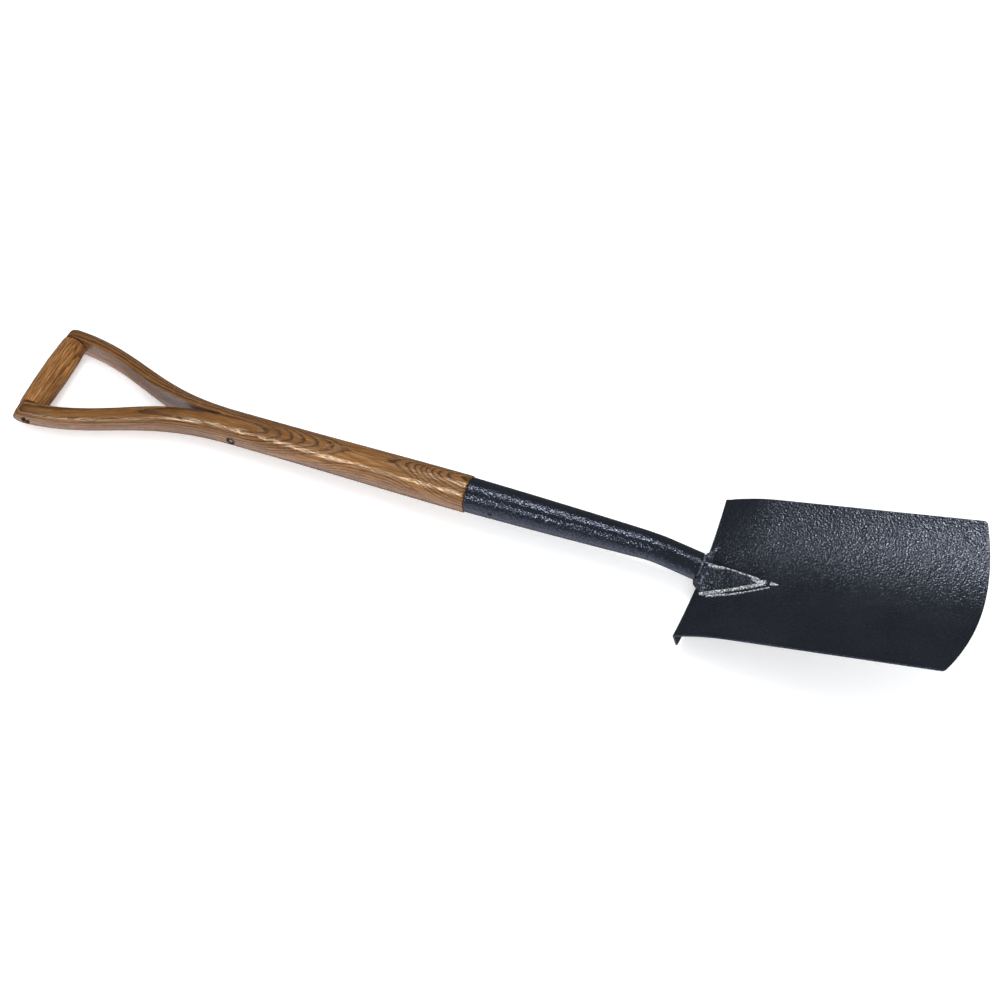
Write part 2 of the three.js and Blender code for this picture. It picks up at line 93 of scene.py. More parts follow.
SOCKET_MOUTH, SOCKET_WALL = 252.0, 1.8
MOUTH_RADIUS, NECK_RADIUS, NECK_START = 19.1, 14.9, 50.0
TAPER_BULGE = 0.45
NECK_VERTEX, NECK_REACH, NECK_END = 45.0, 15.0, 49.0
NECK_BEND = math.radians(14)

FROG_START, FROG_APEX, FROG_WIDE = -5.0, 73.0, 6.0
FROG_NEAR, FROG_FAR, FROG_APEX_Y = -29.5, 17.0, -4.0
FROG_HEIGHT, FROG_CREST = 23.4, -2.5
FROG_START_SIZE = 0.56  # of its widest, where it meets the socket's end
LEAST_SIZE = 0.03  # no ring closes up altogether

SHAFT_RADIUS, SHOULDER_RADIUS = 18.95, 20.3
SHOULDER_RUN = (275.0, 480.0)
SHAFT_START = 108.0
FORK_START, SAW_CUT_END = 536.0, 546.0
ARM_HALF_HEIGHT, ARM_END_RADIUS = 12.8, 13.6
ARM_SQUARENESS = 0.72  # 1 is a round section, and less is squarer
ARM_CHANGE = 0.55  # the share of the arm's line over which its section changes
ARM_CORNER_START, ARM_CORNER_RUN, ARM_CORNER_PULL = 58.0, 10.0, 2.2
ARM_INNER = ((536, 0.9), (656, 0.9), (671, 49.5), (778, 52))
ARM_OUTER = ((536, 18.95), (645, 18.95), (675, 67), (778, 68.6))

GRIP_POSITION, GRIP_HALF = 762.0, 48.8
GRIP_MID_RADIUS, GRIP_END_RADIUS = 15.8, 14.4
TENON_RADIUS, TENON_LENGTH = 8.5, 7.0
GRIP_RIVET, FORK_RIVET = 759.0, 527.5
RIVET_RADIUS, WASHER_RADIUS, COUNTERBORE_RADIUS = 2.2, 4.8, 5.2
GRIP_BORE_FLOOR, FORK_BORE_FLOOR = 63.0, 16.2
POLE = 0.02  # radius of a turned end's last ring, which stands for a point


# ---------------------------------------------------------------- frames

def centre(node):
    low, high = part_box(node)
    return (Vector(low) + Vector(high)) / 2


def frame_matrix(origin, x_axis):
    """Millimetres in a local frame, with its y axis along the row's, to metres in the row."""
    y_axis = Vector((0, 1, 0))
    turn = Matrix((x_axis, y_axis, x_axis.cross(y_axis))).transposed().to_4x4()
    return Matrix.Translation(origin) @ turn @ Matrix.Scale(MM, 4)


def head_frame():
    mount = next(m for m in frame["record"]["mounts"] if m["name"] == "tread_near")
    turned = frame_matrix(Vector(), -Vector(mount["axis"]).normalized())
    return Matrix.Translation(Vector(mount["pos_m"]) - turned @ TREAD_POINT) @ turned


def handle_frame():
    fork = centre("fork_rivet")
    along = (fork - centre("grip_rivet")).normalized()
    return frame_matrix(fork + along * FORK_RIVET * MM, along)


HEAD = head_frame()
HANDLE = handle_frame()


# ---------------------------------------------------------------- small helpers

def lerp(a, b, t):
    return a + (b - a) * t


def clamp(value, low=0.0, high=1.0):
    return max(low, min(high, value))


def smoothstep(value, low, high):
    t = clamp((value - low) / (high - low))
    return t * t * (3 - 2 * t)


def spread(count, low=0.0, high=1.0):
    return [lerp(low, high, i / (count - 1)) for i in range(count)]


def bezier(points, t):
    a, b, c, d = (Vector(p) for p in points)
    s = 1 - t
    return a * s**3 + b * 3 * s * s * t + c * 3 * s * t * t + d * t**3


def on_handle(points, u):
    """Points about the y axis, moved along the handle to u."""
    return [Vector((p.x - u, p.y, p.z)) for p in points]


def make_piece(name, points, faces, place, material, stands_for):
    mesh = bpy.data.meshes.new(name)
    mesh.from_pydata([place @ Vector(p) for p in points], [], faces)
    mesh.validate()
    obj = bpy.data.objects.new(name, mesh)
    bpy.context.scene.collection.objects.link(obj)
    tidy_mesh(mesh)
    mesh.materials.append(material)
    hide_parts(*stands_for)
    return obj


def tidy_mesh(mesh):
    work = bmesh.new()
    work.from_mesh(mesh)
    bmesh.ops.remove_doubles(work, verts=work.verts, dist=1e-6)
    closed = all(edge.is_manifold for edge in work.edges)
    if closed:
        bmesh.ops.recalc_face_normals(work, faces=work.faces)
    for face in work.faces:
        face.smooth = True
    work.to_mesh(mesh)
    work.free()


def apply_modifiers(obj):
    graph = bpy.context.evaluated_depsgraph_get()
    made = bpy.data.meshes.new_from_object(obj.evaluated_get(graph))
    obj.modifiers.clear()
    old, obj.data = obj.data, made
    bpy.data.meshes.remove(old)


def sharpen(obj, degrees):
    """Smooth shading, with a crease wherever two faces meet at more than this angle."""
    work = bmesh.new()
    work.from_mesh(obj.data)
    limit = math.radians(degrees)
    for edge in work.edges:
        edge.smooth = len(edge.link_faces) != 2 or edge.calc_face_angle(0) < limit
    work.to_mesh(obj.data)
    work.free()


def bevel(obj, width, segments, degrees):
    soften = obj.modifiers.new("edge", "BEVEL")
    soften.width = width * MM
    soften.segments = segments
    soften.limit_method = "ANGLE"
    soften.angle_limit = math.radians(degrees)


def loft(rings):
    """Points and faces of a closed skin over equal rings, with a cap on each end."""
    count = len(rings[0])
    points = [p for ring in rings for p in ring]
    faces = [tuple(reversed(range(count)))]
    for row in range(0, (len(rings) - 1) * count, count):
        for i in range(count):
            j = (i + 1) % count
            faces.append((row + i, row + j, row + count + j, row + count + i))
    faces.append(tuple(range(len(points) - count, len(points))))
    return points, faces


def wrap(rings):
    """Points and faces of a closed skin over equal rings, whose last ring joins the first."""
    count = len(rings[0])
    points = [p for ring in rings for p in ring]
    faces = []
    for row in range(len(rings)):
        low = row * count
        high = (row + 1) % len(rings) * count
        for i in range(count):
            j = (i + 1) % count
            faces.append((low + i, low + j, high + j, high + i))
    return points, faces


def lathe(profile, sides):
    """Rings round the y axis for a profile of (radius, y)."""
    return [
        [
            Vector((r * math.cos(a), y, r * math.sin(a)))
            for a in (2 * math.pi * i / sides for i in range(sides))
        ]
        for r, y in profile
    ]


# ---------------------------------------------------------------- material nodes

# Places of the sockets on Blender's nodes.
OBJECT_COORDINATES = 3
VECTOR_OUTPUT = 1
MIX_COLOURS, MIXED_COLOUR = (6, 7), 2


class Nodes:
    """A short way to write a node tree: each call makes one node and returns its output."""

    def __init__(self, owner):
        self.owner = owner
        self.owner.use_nodes = True
        self.tree = self.owner.node_tree
        self.tree.nodes.clear()

    def add(self, kind, inputs=(), output=0, **settings):
        node = self.tree.nodes.new(kind)
        for key, value in settings.items():
            setattr(node, key, value)
        for key, value in dict(inputs).items():
            self.put(node.inputs[key], value)
        return node.outputs[output]

    def put(self, socket, value):
        if isinstance(value, bpy.types.NodeSocket):
            self.tree.links.new(value, socket)
        else:
            socket.default_value = value

    def math(self, operation, a, b=0.0):
        return self.add("ShaderNodeMath", {0: a, 1: b}, operation=operation)

    def total(self, a, b):
        return self.math("ADD", a, b)

    def less(self, a, b):
        return self.math("SUBTRACT", a, b)

    def times(self, a, b):
        return self.math("MULTIPLY", a, b)

    def sway(self, value, width):
        """Noise about 0.5 as a shift about zero, this many times as wide."""
        return self.times(self.less(value, 0.5), width)

    def split(self, vector):
        node = self.tree.nodes.new("ShaderNodeSeparateXYZ")
        self.put(node.inputs[0], vector)
        return node.outputs

    def position(self):
        """The place in the row frame, in millimetres: every piece's own origin is the row's."""
        here = self.add("ShaderNodeTexCoord", output=OBJECT_COORDINATES)
        return self.scale(here, (1 / MM,) * 3)

    def attribute(self, name):
        return self.add("ShaderNodeAttribute", output=VECTOR_OUTPUT, attribute_name=name)

    def scale(self, vector, factors):
        pair = {0: vector, 1: factors}
        return self.add("ShaderNodeVectorMath", pair, operation="MULTIPLY")

    def noise(self, vector, scale=1.0, detail=2.0, roughness=0.5):
        """Smooth noise about 0.5."""
        settings = {"Vector": vector, "Scale": scale, "Detail": detail, "Roughness": roughness}
        return self.add("ShaderNodeTexNoise", settings)

    def cells(self, vector, scale, smoothness):
        settings = {"Vector": vector, "Scale": scale, "Smoothness": smoothness}
        return self.add("ShaderNodeTexVoronoi", settings, feature="SMOOTH_F1")

    def remap(self, value, low, high, to_low=0.0, to_high=1.0):
        settings = {0: value, 1: low, 2: high, 3: to_low, 4: to_high}
        return self.add("ShaderNodeMapRange", settings, interpolation_type="SMOOTHSTEP")

    def blend(self, factor, a, b):
        settings = {0: factor, MIX_COLOURS[0]: a, MIX_COLOURS[1]: b}
        return self.add("ShaderNodeMix", settings, output=MIXED_COLOUR, data_type="RGBA")

    def bump(self, height, distance):
        settings = {"Height": height, "Distance": distance * MM, "Strength": 1.0}
        return self.add("ShaderNodeBump", settings)

    def finish(self, **inputs):
        shader = self.tree.nodes.new("ShaderNodeBsdfPrincipled")
        for key, value in inputs.items():
            self.put(shader.inputs[key.replace("_", " ")], value)
        end = self.tree.nodes.new("ShaderNodeOutputMaterial")
        self.tree.links.new(shader.outputs[0], end.inputs["Surface"])
        return self.owner


def material_nodes(name):
    return Nodes(bpy.data.materials.new(name))


def rgb(r, g, b, strength=1.0):
    return (r * strength, g * strength, b * strength, 1.0)


# ---------------------------------------------------------------- materials

def hammered_paint(name, dent_size, dent_depth, gloss, sky):
    """Black hammered enamel: small round dents close together, with a scatter of finer specks
    that shine more. What it reflects is tinted by sky."""
    n = material_nodes(name)
    here = n.position()
    dents = n.cells(here, 1 / dent_size, 0.5)
    ripples = n.noise(here, 1.1 / dent_size, 1)
    height = n.total(dents, n.times(ripples, 0.35))
    glint = n.remap(n.cells(here, 1.2 / dent_size, 0.3), 0.2, 0.6, 0.8, 0.25)
    patches = n.remap(n.noise(here, 0.02, 4), 0.3, 0.7)
    worn = n.remap(n.noise(here, 0.05, 3), 0.3, 0.7, 0, 0.07)
    return n.finish(
        Base_Color=n.blend(patches, rgb(0.009, 0.0105, 0.014), rgb(0.0125, 0.014, 0.0185)),
        Roughness=n.total(worn, gloss),
        Normal=n.bump(height, dent_depth),
        IOR=1.5,
        Specular_IOR_Level=glint,
        Specular_Tint=sky,
    )


def weld_metal(name, low, high, bare_metal_and_sheen_colour):
    """Rough weld under thin paint, lighter as the noise goes from low to high, apart from
    its pits. The lighter colour is partly bare metal and partly painted light: painted sheen
    where it is pale grey, and painted reflection of the sky where it is bluish grey."""
    n = material_nodes(name)
    here = n.position()
    patches = n.noise(here, 0.6, 3, 0.7)
    pits = n.cells(here, 0.6, 0.5)
    # Where this mask is high, the weld takes the lighter colour: partly bare metal, partly painted
    # sheen and painted reflection.
    bare_and_painted_sheen = n.times(n.remap(patches, low, high), n.remap(pits, 0.75, 0.35, 0.25, 1.0))
    return n.finish(
        Base_Color=n.blend(bare_and_painted_sheen, rgb(0.016, 0.019, 0.026), bare_metal_and_sheen_colour),
        Roughness=0.35,
        Metallic=0.15,
        Normal=n.bump(n.total(patches, pits), 0.6),
        Coat_Weight=0.6,
        Coat_Roughness=0.2,
    )


def log_rings(n, grain, ring_width, pith, twist, drift_points):
    """How far each place is through its year's growth, from 0 to 1. The rings are cylinders
    about a distant pith, which twist moves sideways along the log: mm for each mm, counted
    from a place, and up to another. The curve drift_points says how the grain runs out of
    the surface along it. One year's ring is as wide as three of the others."""
    wide_from, wide_to = 18.5, 25.7
    first_ring = 2.5
    slow_wander, ragged_edge = 3.4, 1.6
    along, across, up = n.split(grain)
    slope, middle, last = twist
    turned = n.times(n.less(n.math("MINIMUM", along, last), middle), slope)
    side = n.less(across, n.total(turned, pith[0]))
    rise = n.less(up, pith[1])
    reach = n.math("SQRT", n.total(n.times(side, side), n.times(rise, rise)))
    depth = n.less(reach, grain_drift(n, along, drift_points))
    broad = n.noise(n.scale(grain, (0.011, 0.05, 0.05)))
    ragged = n.noise(n.scale(grain, (0.09, 0.7, 0.7)), 1.0, 3, 0.6)
    depth = n.total(depth, n.sway(broad, slow_wander))
    depth = n.total(depth, n.sway(ragged, ragged_edge))
    widened = n.remap(depth, wide_from, wide_to, 0, 2 * ring_width)
    years = n.math("DIVIDE", n.total(n.less(depth, widened), first_ring), ring_width)
    return n.math("FRACT", years)


def ash_wood(name, ring_width, pith, twist, drift_points, contrast, bright):
    """Stained ash under gloss varnish, with a dark line at the end of each year's growth. The
    attribute grain holds the place in the straight log: along the grain, then two across it."""
    n = material_nodes(name)
    grain = n.attribute("grain")
    ring = log_rings(n, grain, ring_width, pith, twist, drift_points)
    late = n.times(n.remap(ring, 0.42, 0.86), n.remap(ring, 1.0, 0.94))
    strength = n.noise(n.scale(grain, (0.02, 0.12, 0.12)))
    dark = n.times(late, n.remap(strength, 0.25, 0.5, 0.6 * contrast, contrast))
    fibres = n.noise(n.scale(grain, (0.03, 1.3, 1.3)), 1.0, 3, 0.6)
    pores = n.noise(n.scale(grain, (0.07, 1.5, 1.5)))
    pore = n.times(n.remap(pores, 0.50, 0.64), n.remap(ring, 0.1, 0.7, 0.3, 1.0))
    tone = n.remap(n.noise(n.scale(grain, (0.008, 0.03, 0.03))), 0.3, 0.7)
    colour = n.blend(tone, rgb(0.20, 0.086, 0.024, bright), rgb(0.30, 0.140, 0.045, bright))
    colour = n.blend(n.remap(fibres, 0.40, 0.62), colour, rgb(0.13, 0.054, 0.014))
    colour = n.blend(n.times(pore, 0.7), colour, rgb(0.075, 0.032, 0.011))
    colour = n.blend(dark, colour, rgb(0.052, 0.021, 0.008))
    varnish = n.noise(n.scale(grain, (0.07, 0.3, 0.3)), 1.0, 3)
    grooves = n.total(n.times(dark, 0.5), n.times(pore, 0.3))
    return n.finish(
        Base_Color=colour,
        Roughness=0.12,
        Specular_IOR_Level=0.8,
        Specular_Tint=rgb(1.0, 0.82, 0.62),
        Normal=n.bump(n.less(n.times(varnish, 1.8), grooves), 0.25),
    )


def grain_drift(n, along, points):
    """Millimetres that the rings shift by at each place along the log."""
    longest = 800.0
    deepest = 60.0
    node = n.tree.nodes.new("ShaderNodeFloatCurve")
    curve = node.mapping.curves[0]
    while len(curve.points) < len(points):
        curve.points.new(0.5, 0.5)
    for slot, (place, shift) in zip(curve.points, points):
        slot.location = (place / longest, shift / deepest)
    node.mapping.update()
    n.put(node.inputs["Value"], n.math("DIVIDE", along, longest))
    return n.times(node.outputs[0], deepest)


def plated_steel(name, tint, roughness, metallic):
    n = material_nodes(name)
    scuffs = n.noise(n.position(), 1.4, 4, 0.6)
    rough = n.total(n.remap(scuffs, 0.3, 0.7, 0, 0.15), roughness)
    return n.finish(
        Base_Color=n.blend(n.remap(scuffs, 0.35, 0.7), rgb(*tint), rgb(*tint, 0.6)),
        Roughness=rough,
        Metallic=metallic,
        Normal=n.bump(scuffs, 0.1),
    )


def floor_material(name):
    n = material_nodes(name)
    paper = n.noise(n.position(), 0.02, 3)
    tint = n.blend(paper, rgb(0.86, 0.86, 0.865), rgb(0.885, 0.885, 0.885))
    return n.finish(Base_Color=tint, Roughness=0.9, Emission_Color=tint, Emission_Strength=0.42)


# ---------------------------------------------------------------- blade

def half_width(x):
    return lerp(TREAD_WIDTH, EDGE_WIDTH, x / BLADE_LENGTH) / 2


def dish(x, across):
    t = clamp(x / DISH_RUN)
    depth = TREAD_DISH + (EDGE_DISH - TREAD_DISH) * t * (2 - t)
    return depth * abs(across) ** DISH_POWER


def dish_at(x, y):
    return dish(max(x, 0), y / half_width(max(x, 0)))


def corner_setback(across, radius):
    """How far a corner of this radius falls back from a straight end."""
    inset = half_width(0) * (1 - abs(across))
    if inset >= radius:
        return 0.0
    return radius - math.sqrt(radius**2 - (radius - inset) ** 2)


def blade_columns():
    width = half_width(TREAD_FACE)
    rim = [1 - inset / width for inset in (0, 0.25, 0.7, 1.4, 2.2, CORNER_RADIUS)]
    across = spread(89, -0.95, 0.95) + rim + [-r for r in rim]
    notch = [(NOTCH_CENTRE + side * NOTCH_HALF) / width for side in (-1, 1)]
    clear = 0.008
    across = [a for a in across if all(abs(a - edge) > clear for edge in notch)]
    return sorted(across + notch), notch


def blade_rows(across):
    """One line of the dished face down its length: the tread, the fold and the blade."""
    fold_steps = 10
    blade_steps = 120
    top = dish(FOLD_RADIUS, across)
    low = top - TREAD_DEPTH
    high = top - FOLD_RADIUS
    line = [(TREAD_FACE, lerp(low, high, t)) for t in spread(5)]
    for k in range(1, fold_steps + 1):
        angle = math.pi / 2 * k / fold_steps
        drop = FOLD_RADIUS * (1 - math.sin(angle))
        line.append((TREAD_FACE + FOLD_RADIUS * (1 - math.cos(angle)), top - drop))
    end = BLADE_LENGTH - EDGE_ROUNDING * across**2 - corner_setback(across, CORNER_RADIUS)
    start = TREAD_FACE + FOLD_RADIUS
    for k in range(1, blade_steps + 1):
        x = lerp(start, end, k / blade_steps)
        line.append((x, dish(x, across)))
    return line, len(line) - blade_steps - 1


def drop_loose_points(obj):
    work = bmesh.new()
    work.from_mesh(obj.data)
    bmesh.ops.delete(work, geom=[v for v in work.verts if not v.link_faces], context="VERTS")
    work.to_mesh(obj.data)
    work.free()


def make_blade(material):
    """One sheet, with a notch for the socket cut through the folded treads."""
    columns, notch = blade_columns()
    points = []
    for across in columns:
        line, fold_end = blade_rows(across)
        points += [(x, across * half_width(x), z) for x, z in line]
    rows = len(line)
    faces = []
    for c in range(len(columns) - 1):
        in_notch = notch[0] <= columns[c] and columns[c + 1] <= notch[1]
        for r in range(fold_end if in_notch else 0, rows - 1):
            a = c * rows + r
            faces.append((a, a + 1, a + rows + 1, a + rows))
    blade = make_piece("blade_sheet", points, faces, HEAD, material, ["blade"])
    drop_loose_points(blade)
    thicken = blade.modifiers.new("sheet", "SOLIDIFY")
    thicken.thickness = SHEET * MM
    thicken.offset = -1
    thicken.use_even_offset = True
    bevel(blade, 0.45, 2, 60)
    apply_modifiers(blade)
    sharpen(blade, 50)


# ---------------------------------------------------------------- socket

def socket_radius(u):
    t = clamp((u - NECK_START) / (SOCKET_MOUTH - NECK_START))
    return lerp(NECK_RADIUS, MOUTH_RADIUS, t * (1 + TAPER_BULGE - TAPER_BULGE * t))


def bend_direction():
    return Vector((math.cos(NECK_BEND), 0, -math.sin(NECK_BEND)))


def socket_line():
    """Centre line of the socket from mouth to end, as (point, direction) in the handle frame."""
    vertex = Vector((-NECK_VERTEX, 0, 0))
    bend_in = vertex - Vector((NECK_REACH, 0, 0))
    bend_out = vertex + bend_direction() * NECK_REACH
    end = vertex + bend_direction() * NECK_END
    line = [(Vector((x, 0, 0)), Vector((1, 0, 0))) for x in spread(100, -SOCKET_MOUTH, bend_in.x)]
    for t in spread(24)[1:]:
        point = bend_in * (1 - t) ** 2 + vertex * 2 * t * (1 - t) + bend_out * t * t
        along = (vertex - bend_in) * (1 - t) + (bend_out - vertex) * t
        line.append((point, along.normalized()))
    line += [(bend_out.lerp(end, t), bend_direction()) for t in spread(16)[1:]]
    return line


def ring_about(point, along, radius, sides):
    up = Vector((-along.z, 0, along.x))
    side = Vector((0, 1, 0))
    angles = [2 * math.pi * i / sides for i in range(sides)]
    return [point + side * radius * math.cos(a) + up * radius * math.sin(a) for a in angles]


def make_socket(material):
    sides = 72
    lip = 0.5
    line = socket_line()
    mouth, along = line[0]
    body = [(p, d, socket_radius(-p.x)) for p, d in line[1:]]
    outer = [ring_about(p, d, radius, sides) for p, d, radius in body]
    inner = [ring_about(p, d, radius - SOCKET_WALL, sides) for p, d, radius in body]
    rim = []
    for degrees in (0, 30, 60, 90):
        a = math.radians(degrees)
        rim.append((lip * (1 - math.sin(a)), MOUTH_RADIUS - lip * (1 - math.cos(a))))
    rim += [(0, MOUTH_RADIUS - SOCKET_WALL + lip), (lip, MOUTH_RADIUS - SOCKET_WALL)]
    front = [ring_about(mouth + along * back, along, radius, sides) for back, radius in rim]
    points, faces = wrap(outer[::-1] + front + inner)
    socket = make_piece("socket_tube", points, faces, HANDLE, material, ["socket"])
    sharpen(socket, 50)


# ---------------------------------------------------------------- frog

def frog_ring(x):
    """The frog's outline at x, from its near foot over the crest to its far foot."""
    taper = (FROG_APEX - x) / (FROG_APEX - FROG_WIDE)
    size = taper
    if x < FROG_WIDE:
        size = lerp(FROG_START_SIZE, 1, (x - FROG_START) / (FROG_WIDE - FROG_START))
    size = max(size, LEAST_SIZE)
    near = lerp(FROG_APEX_Y, FROG_NEAR, size)
    far = lerp(FROG_APEX_Y, FROG_FAR, size)
    sunk = 0.6
    least_height, least_crest = 0.8, 0.12
    crest = 4.6 * max(taper, least_crest)
    top = max(FROG_HEIGHT * taper, least_height) + crest * 0.35
    near_foot = Vector((near, dish_at(x, near) - sunk))
    far_foot = Vector((far, dish_at(x, far) - sunk))
    peak = Vector((lerp(FROG_APEX_Y, FROG_CREST, taper), top))
    ring = [near_foot.lerp(peak, t) for t in spread(15, 0, 1 - crest / 26)]
    start = ring[-1]
    finish = far_foot.lerp(peak, 1 - crest / 22)
    for t in spread(13)[1:-1]:
        ring.append(start * (1 - t) ** 2 + peak * 2 * t * (1 - t) + finish * t * t)
    ring += [finish.lerp(far_foot, t) for t in spread(12)]
    ring += [far_foot.lerp(near_foot, t) for t in spread(10)[1:-1]]
    return [Vector((x, p.x, p.y)) for p in ring]


def make_frog(material):
    stations = spread(70, FROG_START, FROG_APEX - 0.4)
    points, faces = loft([frog_ring(x) for x in stations])
    for i, p in enumerate(points):
        dent = noise.noise(p * 0.09) * 0.35
        if p.z > dish_at(p.x, p.y) + 1:
            points[i] = p + Vector((0, 0, dent))
    frog = make_piece("frog_ridge", points, faces, HEAD, material, ["frog"])
    sharpen(frog, 60)


# ---------------------------------------------------------------- welds

def smooth_line(points, count):
    """A Catmull-Rom line through the points."""
    padded = [points[0] * 2 - points[1], *points, points[-1] * 2 - points[-2]]
    line = []
    for s in spread(count, 0, len(points) - 1 - 1e-6):
        k, t = int(s), s - int(s)
        a, b, c, d = padded[k : k + 4]
        curve = b * 2 + (c - a) * t + (a * 2 - b * 5 + c * 4 - d) * t * t
        curve += (b * 3 - a - c * 3 + d) * t**3
        line.append(curve / 2)
    return line


def weld_strand(points, radii, ripple=2.4, rough=1.0, seed=0.0):
    """One run of weld: overlapping ripples along a line, lumpy all over. Returns its rings."""
    sides = 24
    step = 0.45
    blunt = 0.03  # how flat each end is
    length = sum((b - a).length for a, b in zip(points, points[1:]))
    line = smooth_line(points, max(int(length / step), 8))
    rings = []
    for k, place in enumerate(line):
        ahead = line[min(k + 1, len(line) - 1)] - line[max(k - 1, 0)]
        along = ahead.normalized()
        side = along.cross(Vector((0, 0, 1))).normalized()
        over = side.cross(along)
        t = k / (len(line) - 1)
        radius = lerp(radii[0], radii[1], t)
        ends = min(t, 1 - t) * length / radius
        radius *= math.sqrt(clamp(1 - (1 - clamp(ends)) ** 2, blunt))
        wave = (k * step / ripple + seed) % 1
        radius *= 0.9 + 0.2 * math.sqrt(wave) * (1 - wave) * 2
        ring = []
        for i in range(sides):
            a = 2 * math.pi * i / sides
            out = side * math.cos(a) + over * math.sin(a)
            spot = place + out * radius
            lump = noise.noise(spot * 0.55 + Vector((seed * 7, 0, 0))) * 0.22
            lump += noise.noise(spot * 1.3) * 0.12
            ring.append(place + out * radius * (1 + lump * rough))
        rings.append(ring)
    return rings


def make_weld(name, strands, material, stands_for):
    points, faces = [], []
    for rings in strands:
        more, skins = loft(rings)
        base = len(points)
        points += more
        faces += [tuple(base + i for i in face) for face in skins]
    return make_piece(name, points, faces, HEAD, material, stands_for)


def on_blade(x, y, lift=0.4):
    return Vector((x, y, dish_at(x, y) + lift))


def socket_end_arc(start, end, shift, grow):
    """Points along the rim of the socket's end, in the head frame, from one angle to another."""
    along = bend_direction()
    up = Vector((-along.z, 0, along.x))
    middle = Vector((-NECK_VERTEX, 0, 0)) + along * NECK_END
    to_head = HEAD.inverted() @ HANDLE
    arc = []
    for degrees in spread(9, start, end):
        a = math.radians(degrees)
        rim = Vector((0, math.cos(a), 0)) + up * math.sin(a)
        arc.append(to_head @ (middle + rim * (NECK_RADIUS + grow)) + shift)
    return arc


def on_frog(x, share, lift=0.3):
    """A point on the frog's near flank: share 0 is its foot and 1 its crest."""
    ring = frog_ring(x)
    foot, crest = ring[0], max(ring, key=lambda p: p.z)
    return foot.lerp(crest, share) + Vector((0, 0, lift))


def lumps(places, size, seed):
    """Short blobs of spatter."""
    blobs = []
    for k, (place, length) in enumerate(places):
        run = Vector((length * 0.5, length * 0.2 * (-1) ** k, 0))
        line = [place - run, place, place + run]
        blobs.append(weld_strand(line, (size, size * 0.8), seed=seed + k * 0.37))
    return blobs


def make_welds(bare_and_painted_sheen, painted, paint):
    foot = [on_blade(6, -31.4, 1), on_blade(37, -20.6, 1), on_blade(69, -7.4, 1)]
    # The upper strand is the weld bead. The lower, thinner strand is painted highlight: a bright line
    # along the bead's lower edge, in the bare weld colour.
    lower_edge_highlight = [on_blade(14, -32.6), on_blade(46, -23.4), on_blade(76, -10.2)]
    near = [
        weld_strand(foot, (1.9, 1.9), rough=2.2),
        weld_strand(lower_edge_highlight, (1.3, 0.6), ripple=5, rough=2, seed=0.4),
    ]
    make_weld("weld_bead_near", near, bare_and_painted_sheen, ["weld_frog_near"])

    # The far weld is drawn as a thin bright bead along the frog's crest, with a bright smear where
    # the crest meets the socket. Both are painted highlight: they stand for the light that runs along
    # the rounded crest, in the bare weld colour.
    crest = [on_frog(x, 1, 0) for x in (28, 38, 47, 56, 64)]
    crest_highlight_smear = [on_frog(12, 0.93), on_frog(20, 0.92), on_frog(29, 0.97)]
    far = [
        weld_strand(crest, (0.7, 0.9), ripple=14, rough=0.3, seed=0.5),
        weld_strand(crest_highlight_smear, (2.4, 1.2), ripple=5, rough=1.8, seed=0.8),
    ]
    make_weld("far_weld_and_crest_highlight", far, bare_and_painted_sheen, ["weld_frog_far"])

    pool = [on_frog(55, 0.85, -0.6), on_frog(64, 0.55, -1), on_blade(71.5, -5.2, -0.4)]
    tail = [on_blade(74.6, -5.1, 0.2), on_blade(79, -5.3, 0.2), on_blade(84, -5.6, 0)]
    tip = [
        weld_strand(pool, (1.3, 3.8), ripple=5, rough=1.8, seed=0.1),
        weld_strand(tail, (2.3, 0.5), ripple=9),
    ]
    make_weld("weld_bead_tip", tip, bare_and_painted_sheen, ["weld_frog_tip"])

    blob = [on_blade(1.6, 12, 3), on_blade(2.4, 18, 1.4), on_blade(4.4, 24, 1.4)]
    trail = [on_blade(4, 21, 0.6), on_blade(6, 27, 0.4), on_blade(9, 33, 0)]
    tread = [
        weld_strand(blob, (4.6, 3.6), ripple=4, rough=2.2, seed=0.6),
        weld_strand(trail, (3.2, 1.4), ripple=4, rough=2.0, seed=0.1),
    ]
    make_weld("weld_bead_tread", tread, painted, ["weld_tread_far"])

    over = socket_end_arc(14, 166, Vector((1.5, 0, -0.5)), -2.8)
    thick = [(3, 0.75, 3), (8, 0.5, 4), (5, 0.3, 3), (17, 0.35, 5)]
    thin = [(12, 0.62, 4), (10, 0.16, 5), (2, 0.5, 3), (1, 0.9, 4)]
    neck = [weld_strand(over, (1.6, 2.0), ripple=7, rough=2.6, seed=0.1)]
    for spatter, size, seed in ((thick, 1.7, 0.2), (thin, 1.4, 0.7)):
        neck += lumps([(on_frog(x, share), length) for x, share, length in spatter], size, seed)
    make_weld("weld_bead_neck", neck, painted, ["weld_neck"])

    under = socket_end_arc(-145, -35, Vector((6.4, 0, -0.6)), -2.2)
    make_weld("weld_bead_rear", [weld_strand(under, (2.6, 2.6), seed=0.3)], paint, ["weld_rear"])


# ---------------------------------------------------------------- wooden handle

def wood_radius(u):
    gap = 0.2
    if u < SOCKET_MOUTH:
        return socket_radius(u) - SOCKET_WALL - gap
    return lerp(SHOULDER_RADIUS, SHAFT_RADIUS, smoothstep(u, *SHOULDER_RUN))


